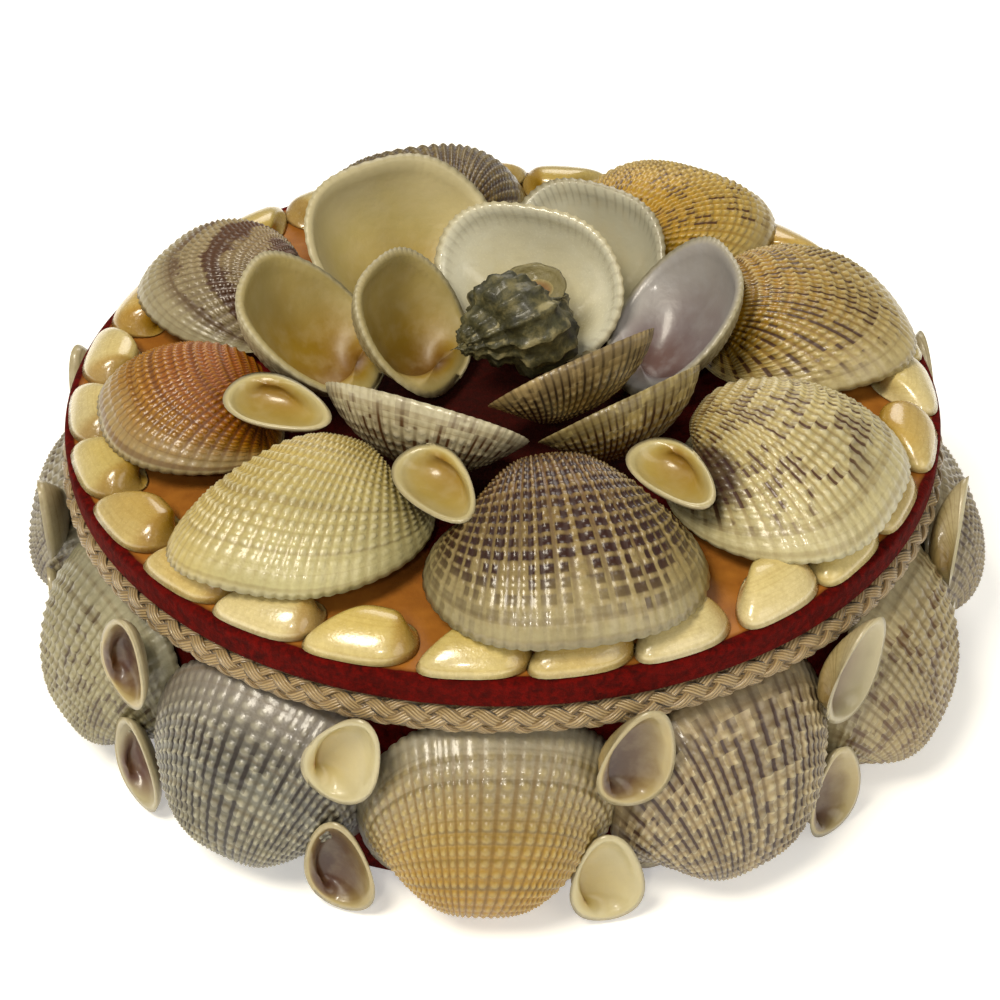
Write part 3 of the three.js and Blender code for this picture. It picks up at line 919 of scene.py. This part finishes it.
LARGE_RIBS = 44
LARGE = {"wall": 1.4, "segments": 4 * LARGE_RIBS, "rows": 66, "inner_rows": 4, "ribs": LARGE_RIBS,
         "gather": 0.45, "rib_height": 0.26, "bead_height": 0.52, "crimp": 0.1, "stops": 0.4}
SIDE = {**LARGE, "broad": 0.25, "flare": 0.62, "width": 35.5, "length": 31.3, "depth": 11.6, "skew": 0.1}
PETAL = {"wall": 1.2, "segments": 132, "rows": 42, "inner_rows": 20, "ribs": 44, "gather": 0.4,
         "rib_height": 0.28, "bead_height": 0.14, "crimp": 0.2, "stops": 0.25}
WEDGE = {"wall": 0.9, "segments": 40, "rows": 12, "inner_rows": 11, "ribs": 40, "rib_height": 0.0,
         "bead_height": 0.0, "crimp": 0.0, "gather": 0.0, "stops": 0.14, "warp": 0.25,
         "taper": 0.3, "skew": 0.3, "broad": 0.0}
SMALL = {**WEDGE, "width": 15.2, "length": 11.0, "depth": 3.6}
RIM_WEDGE = {**WEDGE, "rows": 14, "inner_rows": 2, "closed": 1, "ridge": 0.5, "broad": 0.25,
             "stops": 0.03, "warp": 0.15}

PLAIN = {"bands": SMALL_BANDS, "plain": True}
GAP_LOOK = {**PLAIN, "lining": GAP_LINING}
SMALL_LOOK = {**PLAIN, "lining cloud": (200, 188, 160)}
RIM_LOOK = {**PLAIN, "lining": SMALL_BANDS, "lines": (150, 116, 62, 0.12), "drift": 0.4, "tone": 1.3,
            "side": (150, 112, 58, 0.56, 0.66, 0.6), "rough": 0.26, "varnish": 0.6}
PETAL_CRIMPS = {"inner_petal_2": 0.42, "outer_petal_3": 0.4, "outer_petal_6": 0.36}
# This petal stands a little clear of the clam behind it, in metres.
PETAL_NUDGES = {"outer_petal_2": (0.0004, -0.0006, 0.0004)}
UPPER_ORDER = [0, 2, 1, 0, 2, 1, 2, 0, 1, 2, 0, 1]
LOWER_ORDER = [1, 0, 2, 1, 2, 0, 1, 2, 0, 1, 2, 0]


def in_place(mesh, matrix):
    mesh.transform(Matrix.Scale(MM, 4) @ matrix)
    return mesh


def seated(mesh, matrix, node, name):
    """Puts a mesh on its seat, over its node, and shows it."""
    settle([in_place(mesh, matrix)], [node])
    mesh.transform(Matrix.Translation(PETAL_NUDGES.get(node, (0.0, 0.0, 0.0))))
    show(mesh, name, [node])


def add_large_clams(clam):
    for i, (azimuth, width, length, depth, reach, yaw, skew) in enumerate(LID_CLAMS):
        number = f"{i + 1:02d}"
        finish = clam_finish(f"lid_clam_{number}", LID_LOOKS[i], LARGE, 3.1 * i)
        mesh = clam.make("large", finish, **LARGE, width=width, length=length, depth=depth, skew=skew,
                         seed=4.3 * i + 1.0)
        place = seat(azimuth, reach, LID_TOP + 3.8, 5, yaw)
        seated(mesh, place, f"lid_shell_{number}", f"clam_on_lid_{number}")


def add_petals(clam, label, petals):
    for i, (azimuth, width, length, depth, reach, level, tilt, yaw) in enumerate(petals):
        node = f"{label}_{i + 1}"
        finish = clam_finish(f"{node}_finish", PETAL_LOOKS[node], PETAL, 2.7 * i)
        kind = {**PETAL, "crimp": PETAL_CRIMPS.get(node, PETAL["crimp"])}
        mesh = clam.make("petal", finish, **kind, width=width, length=length, depth=depth,
                         seed=3.7 * i + 2.0)
        place = seat(azimuth, reach, LID_TOP + level, tilt, yaw, hollow=True)
        seated(mesh, place, node, f"clam_{node}")


def add_gap_clams(clam):
    for i, (azimuth, width, length, reach, level, tilt, yaw) in enumerate(LID_GAP_CLAMS):
        node = f"lid_gap_shell_{i + 1:02d}"
        finish = clam_finish(f"{node}_finish", GAP_LOOK, WEDGE, 1.9 * i)
        mesh = clam.make("gap", finish, **WEDGE, width=width, length=length, depth=4.0, seed=2.2 * i)
        place = seat(azimuth, reach, LID_TOP + level, tilt, yaw, hollow=True)
        seated(mesh, place, node, f"small_clam_on_lid_{i + 1:02d}")


def add_rim(clam):
    finishes = [clam_finish(f"rim_clam_{i + 1}", {**RIM_LOOK, "bands": bands}, RIM_WEDGE, 5.0 * i)
                for i, bands in enumerate(RIM_BANDS)]
    meshes = []
    nodes = []
    for arc in range(RIM_COUNT // RIM_PER_ARC):
        arc_meshes = []
        for i in range(RIM_PER_ARC):
            number = arc * RIM_PER_ARC + i
            sway = math.sin(number * 2.4)
            azimuth = RIM_START + 360.0 / RIM_COUNT * RIM_PER_ARC * arc + RIM_SPACING * i
            mesh = clam.make("rim", finishes[(number * 2 + arc) % 3], **RIM_WEDGE,
                             width=13.9 - 0.5 * abs(sway), length=9.6, depth=3.7 + 0.2 * sway,
                             seed=1.7 * number)
            arc_meshes.append(in_place(mesh, seat(azimuth, RIM_REACH, LID_TOP + GLUE_LINE, 0)))
        node = f"rim_shells_{arc + 1:02d}"
        settle(arc_meshes, [node])
        meshes += arc_meshes
        nodes.append(node)
    show(merged(meshes, "rim_clams"), "rim_clam_ring", nodes)


def add_wall_clams(clam):
    linings = [clam_finish(f"small_clam_{i + 1}", {**SMALL_LOOK, "lining": lining}, WEDGE, 6.0 * i)
               for i, lining in enumerate(SMALL_LININGS)]
    for i in range(SIDE_COUNT):
        number = f"{i + 1:02d}"
        azimuth = SIDE_START + 360.0 / SIDE_COUNT * i
        gap = azimuth + 180.0 / SIDE_COUNT
        finish = clam_finish(f"wall_clam_{number}", SIDE_LOOKS[i], SIDE, 2.3 * i + 9.0)
        large = clam.make("large", finish, **SIDE, seed=5.9 * i + 3.0)
        in_place(large, seat(azimuth, 62.1, 0.8 + SIDE["length"] / 2, 90, 5, SIDE_SPINS[i], hollow=True))
        low = clam.make("low", linings[LOWER_ORDER[i]], **SMALL, seed=1.3 * i)
        in_place(low, seat(gap - 2.0, 70.8, 8.4, 90, spin=70))
        node = f"side_shell_{number}"
        settle([large, low], [node])
        show(large, f"clam_on_wall_{number}", [node])
        show(low, f"lower_small_clam_{number}", [node])
        shift = UPPER_SHIFTS[i]
        high = clam.make("high", linings[UPPER_ORDER[i]], **SMALL, seed=1.9 * i + 5.0)
        place = seat(gap + shift, 69.0 + 0.6 * max(0, -shift), 28.5, 90, spin=90 + UPPER_TURNS[i])
        node = f"side_small_shell_{number}"
        seated(high, place, node, f"upper_small_clam_{number}")


def add_snail():
    mesh = outward(snail_tree().make("snail", snail_finish()))
    in_place(mesh, seat(-60, 2, LID_TOP + 10.6, -12, -92))
    settle([mesh], ["snail_shell"])
    fill_room(mesh, "snail_shell")
    show(mesh, "knobbed_snail", ["snail_shell"])


def add_braid():
    """Eight strands, four each way round, woven over and under."""
    strand = strand_tree()
    finish = braid_finish()
    strands = []
    for i in range(4):
        for way in (1.0, -1.0):
            mesh = strand.make("strand", finish, way=way, start=i * TURN / 4.0)
            strands.append(outward(mesh))
    whole = merged(strands, "braid")
    in_place(whole, Matrix.Identity(4))
    settle([whole], ["braided_cord"])
    show(whole, "cream_braid", ["braided_cord"])


def metres(outline):
    return [point * MM for point in outline]


def add_velvet():
    finish = velvet_finish()
    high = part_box("tub")[1]
    radius, top = high.x / MM, high.z / MM
    bore = radius - BOARD
    outline = [(0, 0), (radius, 0), (radius, top), (bore, top), (bore, BOARD), (0, BOARD)]
    tub = turned(metres(eased_corners(outline, [0, 0.8, 0.7, 0.7, 1.2, 0])), lambda at: 0.0)
    tub.materials.append(finish)
    show(tub, "velvet_tub", ["tub"])

    low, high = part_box("lid")
    radius, top, foot = high.x / MM, high.z / MM, low.z / MM
    under = top - LID_THICKNESS
    locator = bore - LOCATOR_PLAY
    hollow = locator - BOARD
    rings = [(radius * share, top) for share in (0.97, 0.9, 0.8, 0.7, 0.6, 0.45, 0.25)]
    outline = [(0, under), (hollow, under), (hollow, foot), (locator, foot), (locator, under),
               (radius, under), (radius, top), *rings, (0, top)]
    radii = [0, 0.8, 0.6, 0.6, 0.3, 0.9, 0.9] + [0.0] * (len(rings) + 1)

    def glue(at):
        reach = math.hypot(at.x, at.y) / MM
        spread = min(1.0, max(0.0, (reach - GLUE_START) / GLUE_SPREAD))
        return spread if at.z > (top - 0.5) * MM and reach < radius - 1.0 else 0.0

    lid = turned(metres(eased_corners(outline, radii)), glue)
    lid.materials.append(finish)
    show(lid, "velvet_lid", ["lid"])


# ---- floor, light and camera
def add_floor():
    mesh = bpy.data.meshes.new("floor")
    half = 3.0
    mesh.from_pydata([(-half, -half, 0), (half, -half, 0), (half, half, 0), (-half, half, 0)], [],
                     [(0, 1, 2, 3)])
    material, tree = new_finish("pale_floor")
    grain = noise(tree, object_place(tree), 30.0, 2.0)
    colour = blended(tree, grain, (242, 242, 240), (246, 246, 244))
    surface(tree, colour, 0.8, None, Emission_Color=(1.0, 1.0, 1.0, 1.0), Emission_Strength=0.35)
    mesh.materials.append(material)
    floor = bpy.data.objects.new("floor", mesh)
    link(floor)


# name, place, size, power, colour
LIGHTS = [
    ("key", (-0.28, -0.35, 0.75), 0.3, 6.0, (1.0, 0.92, 0.76)),
    ("fill", (0.6, -0.6, 0.45), 0.6, 2.0, (1.0, 0.94, 0.82)),
    ("back", (0.1, 0.7, 0.6), 0.5, 2.5, (1.0, 0.95, 0.86)),
    ("spark", (-0.1, -0.7, 0.6), 0.05, 1.2, (1.0, 0.94, 0.84)),
]
AIM = Vector((0.0, 0.0, 0.03))


def add_light(name, place, size, power, colour):
    lamp = bpy.data.lights.new(name, "AREA")
    lamp.shape = "DISK"
    lamp.size = size
    lamp.energy = power
    lamp.color = colour
    holder = bpy.data.objects.new(name, lamp)
    holder.location = place
    holder.rotation_euler = (AIM - Vector(place)).to_track_quat("-Z", "Y").to_euler()
    link(holder)


def add_studio():
    world = bpy.data.worlds.new("studio")
    bpy.context.scene.world = world
    world.use_nodes = True
    sky = world.node_tree.nodes["Background"]
    sky.inputs[0].default_value = (1.0, 0.95, 0.86, 1.0)
    sky.inputs[1].default_value = 0.3
    for light in LIGHTS:
        add_light(*light)
    bpy.context.scene.view_settings.view_transform = "Standard"


CAMERA_PLACE = Vector((-0.473, -275.25, 235.96)) * MM
CAMERA_TILT = math.radians(38.15)
CAMERA_ROLL = -0.0074
FOCAL_LENGTH = 80.95


def add_camera():
    forward = Vector((0.0, math.cos(CAMERA_TILT), -math.sin(CAMERA_TILT)))
    upright = Vector((0.0, math.sin(CAMERA_TILT), math.cos(CAMERA_TILT)))
    level = Vector((1.0, 0.0, 0.0))
    right = level * math.cos(CAMERA_ROLL) + upright * math.sin(CAMERA_ROLL)
    up = upright * math.cos(CAMERA_ROLL) - level * math.sin(CAMERA_ROLL)
    lens = bpy.data.cameras.new("camera")
    lens.lens = FOCAL_LENGTH
    lens.sensor_width = 36.0
    lens.clip_start = 0.01
    holder = bpy.data.objects.new("camera", lens)
    turn = Matrix((right, up, -forward)).transposed().to_4x4()
    holder.matrix_world = Matrix.Translation(CAMERA_PLACE) @ turn
    link(holder)
    bpy.context.scene.camera = holder


# ---- the box
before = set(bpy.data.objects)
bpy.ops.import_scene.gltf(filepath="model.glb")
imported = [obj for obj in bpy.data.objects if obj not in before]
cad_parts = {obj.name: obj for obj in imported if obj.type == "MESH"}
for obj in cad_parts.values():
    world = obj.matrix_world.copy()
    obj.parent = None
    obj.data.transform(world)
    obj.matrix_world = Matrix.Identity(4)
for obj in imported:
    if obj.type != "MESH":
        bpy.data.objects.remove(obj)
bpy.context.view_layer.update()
clam_maker = clam_tree()
add_velvet()
add_braid()
add_rim(clam_maker)
add_large_clams(clam_maker)
add_gap_clams(clam_maker)
add_petals(clam_maker, "outer_petal", OUTER_PETALS)
add_petals(clam_maker, "inner_petal", INNER_PETALS)
add_snail()
add_wall_clams(clam_maker)
add_floor()
add_studio()
add_camera()
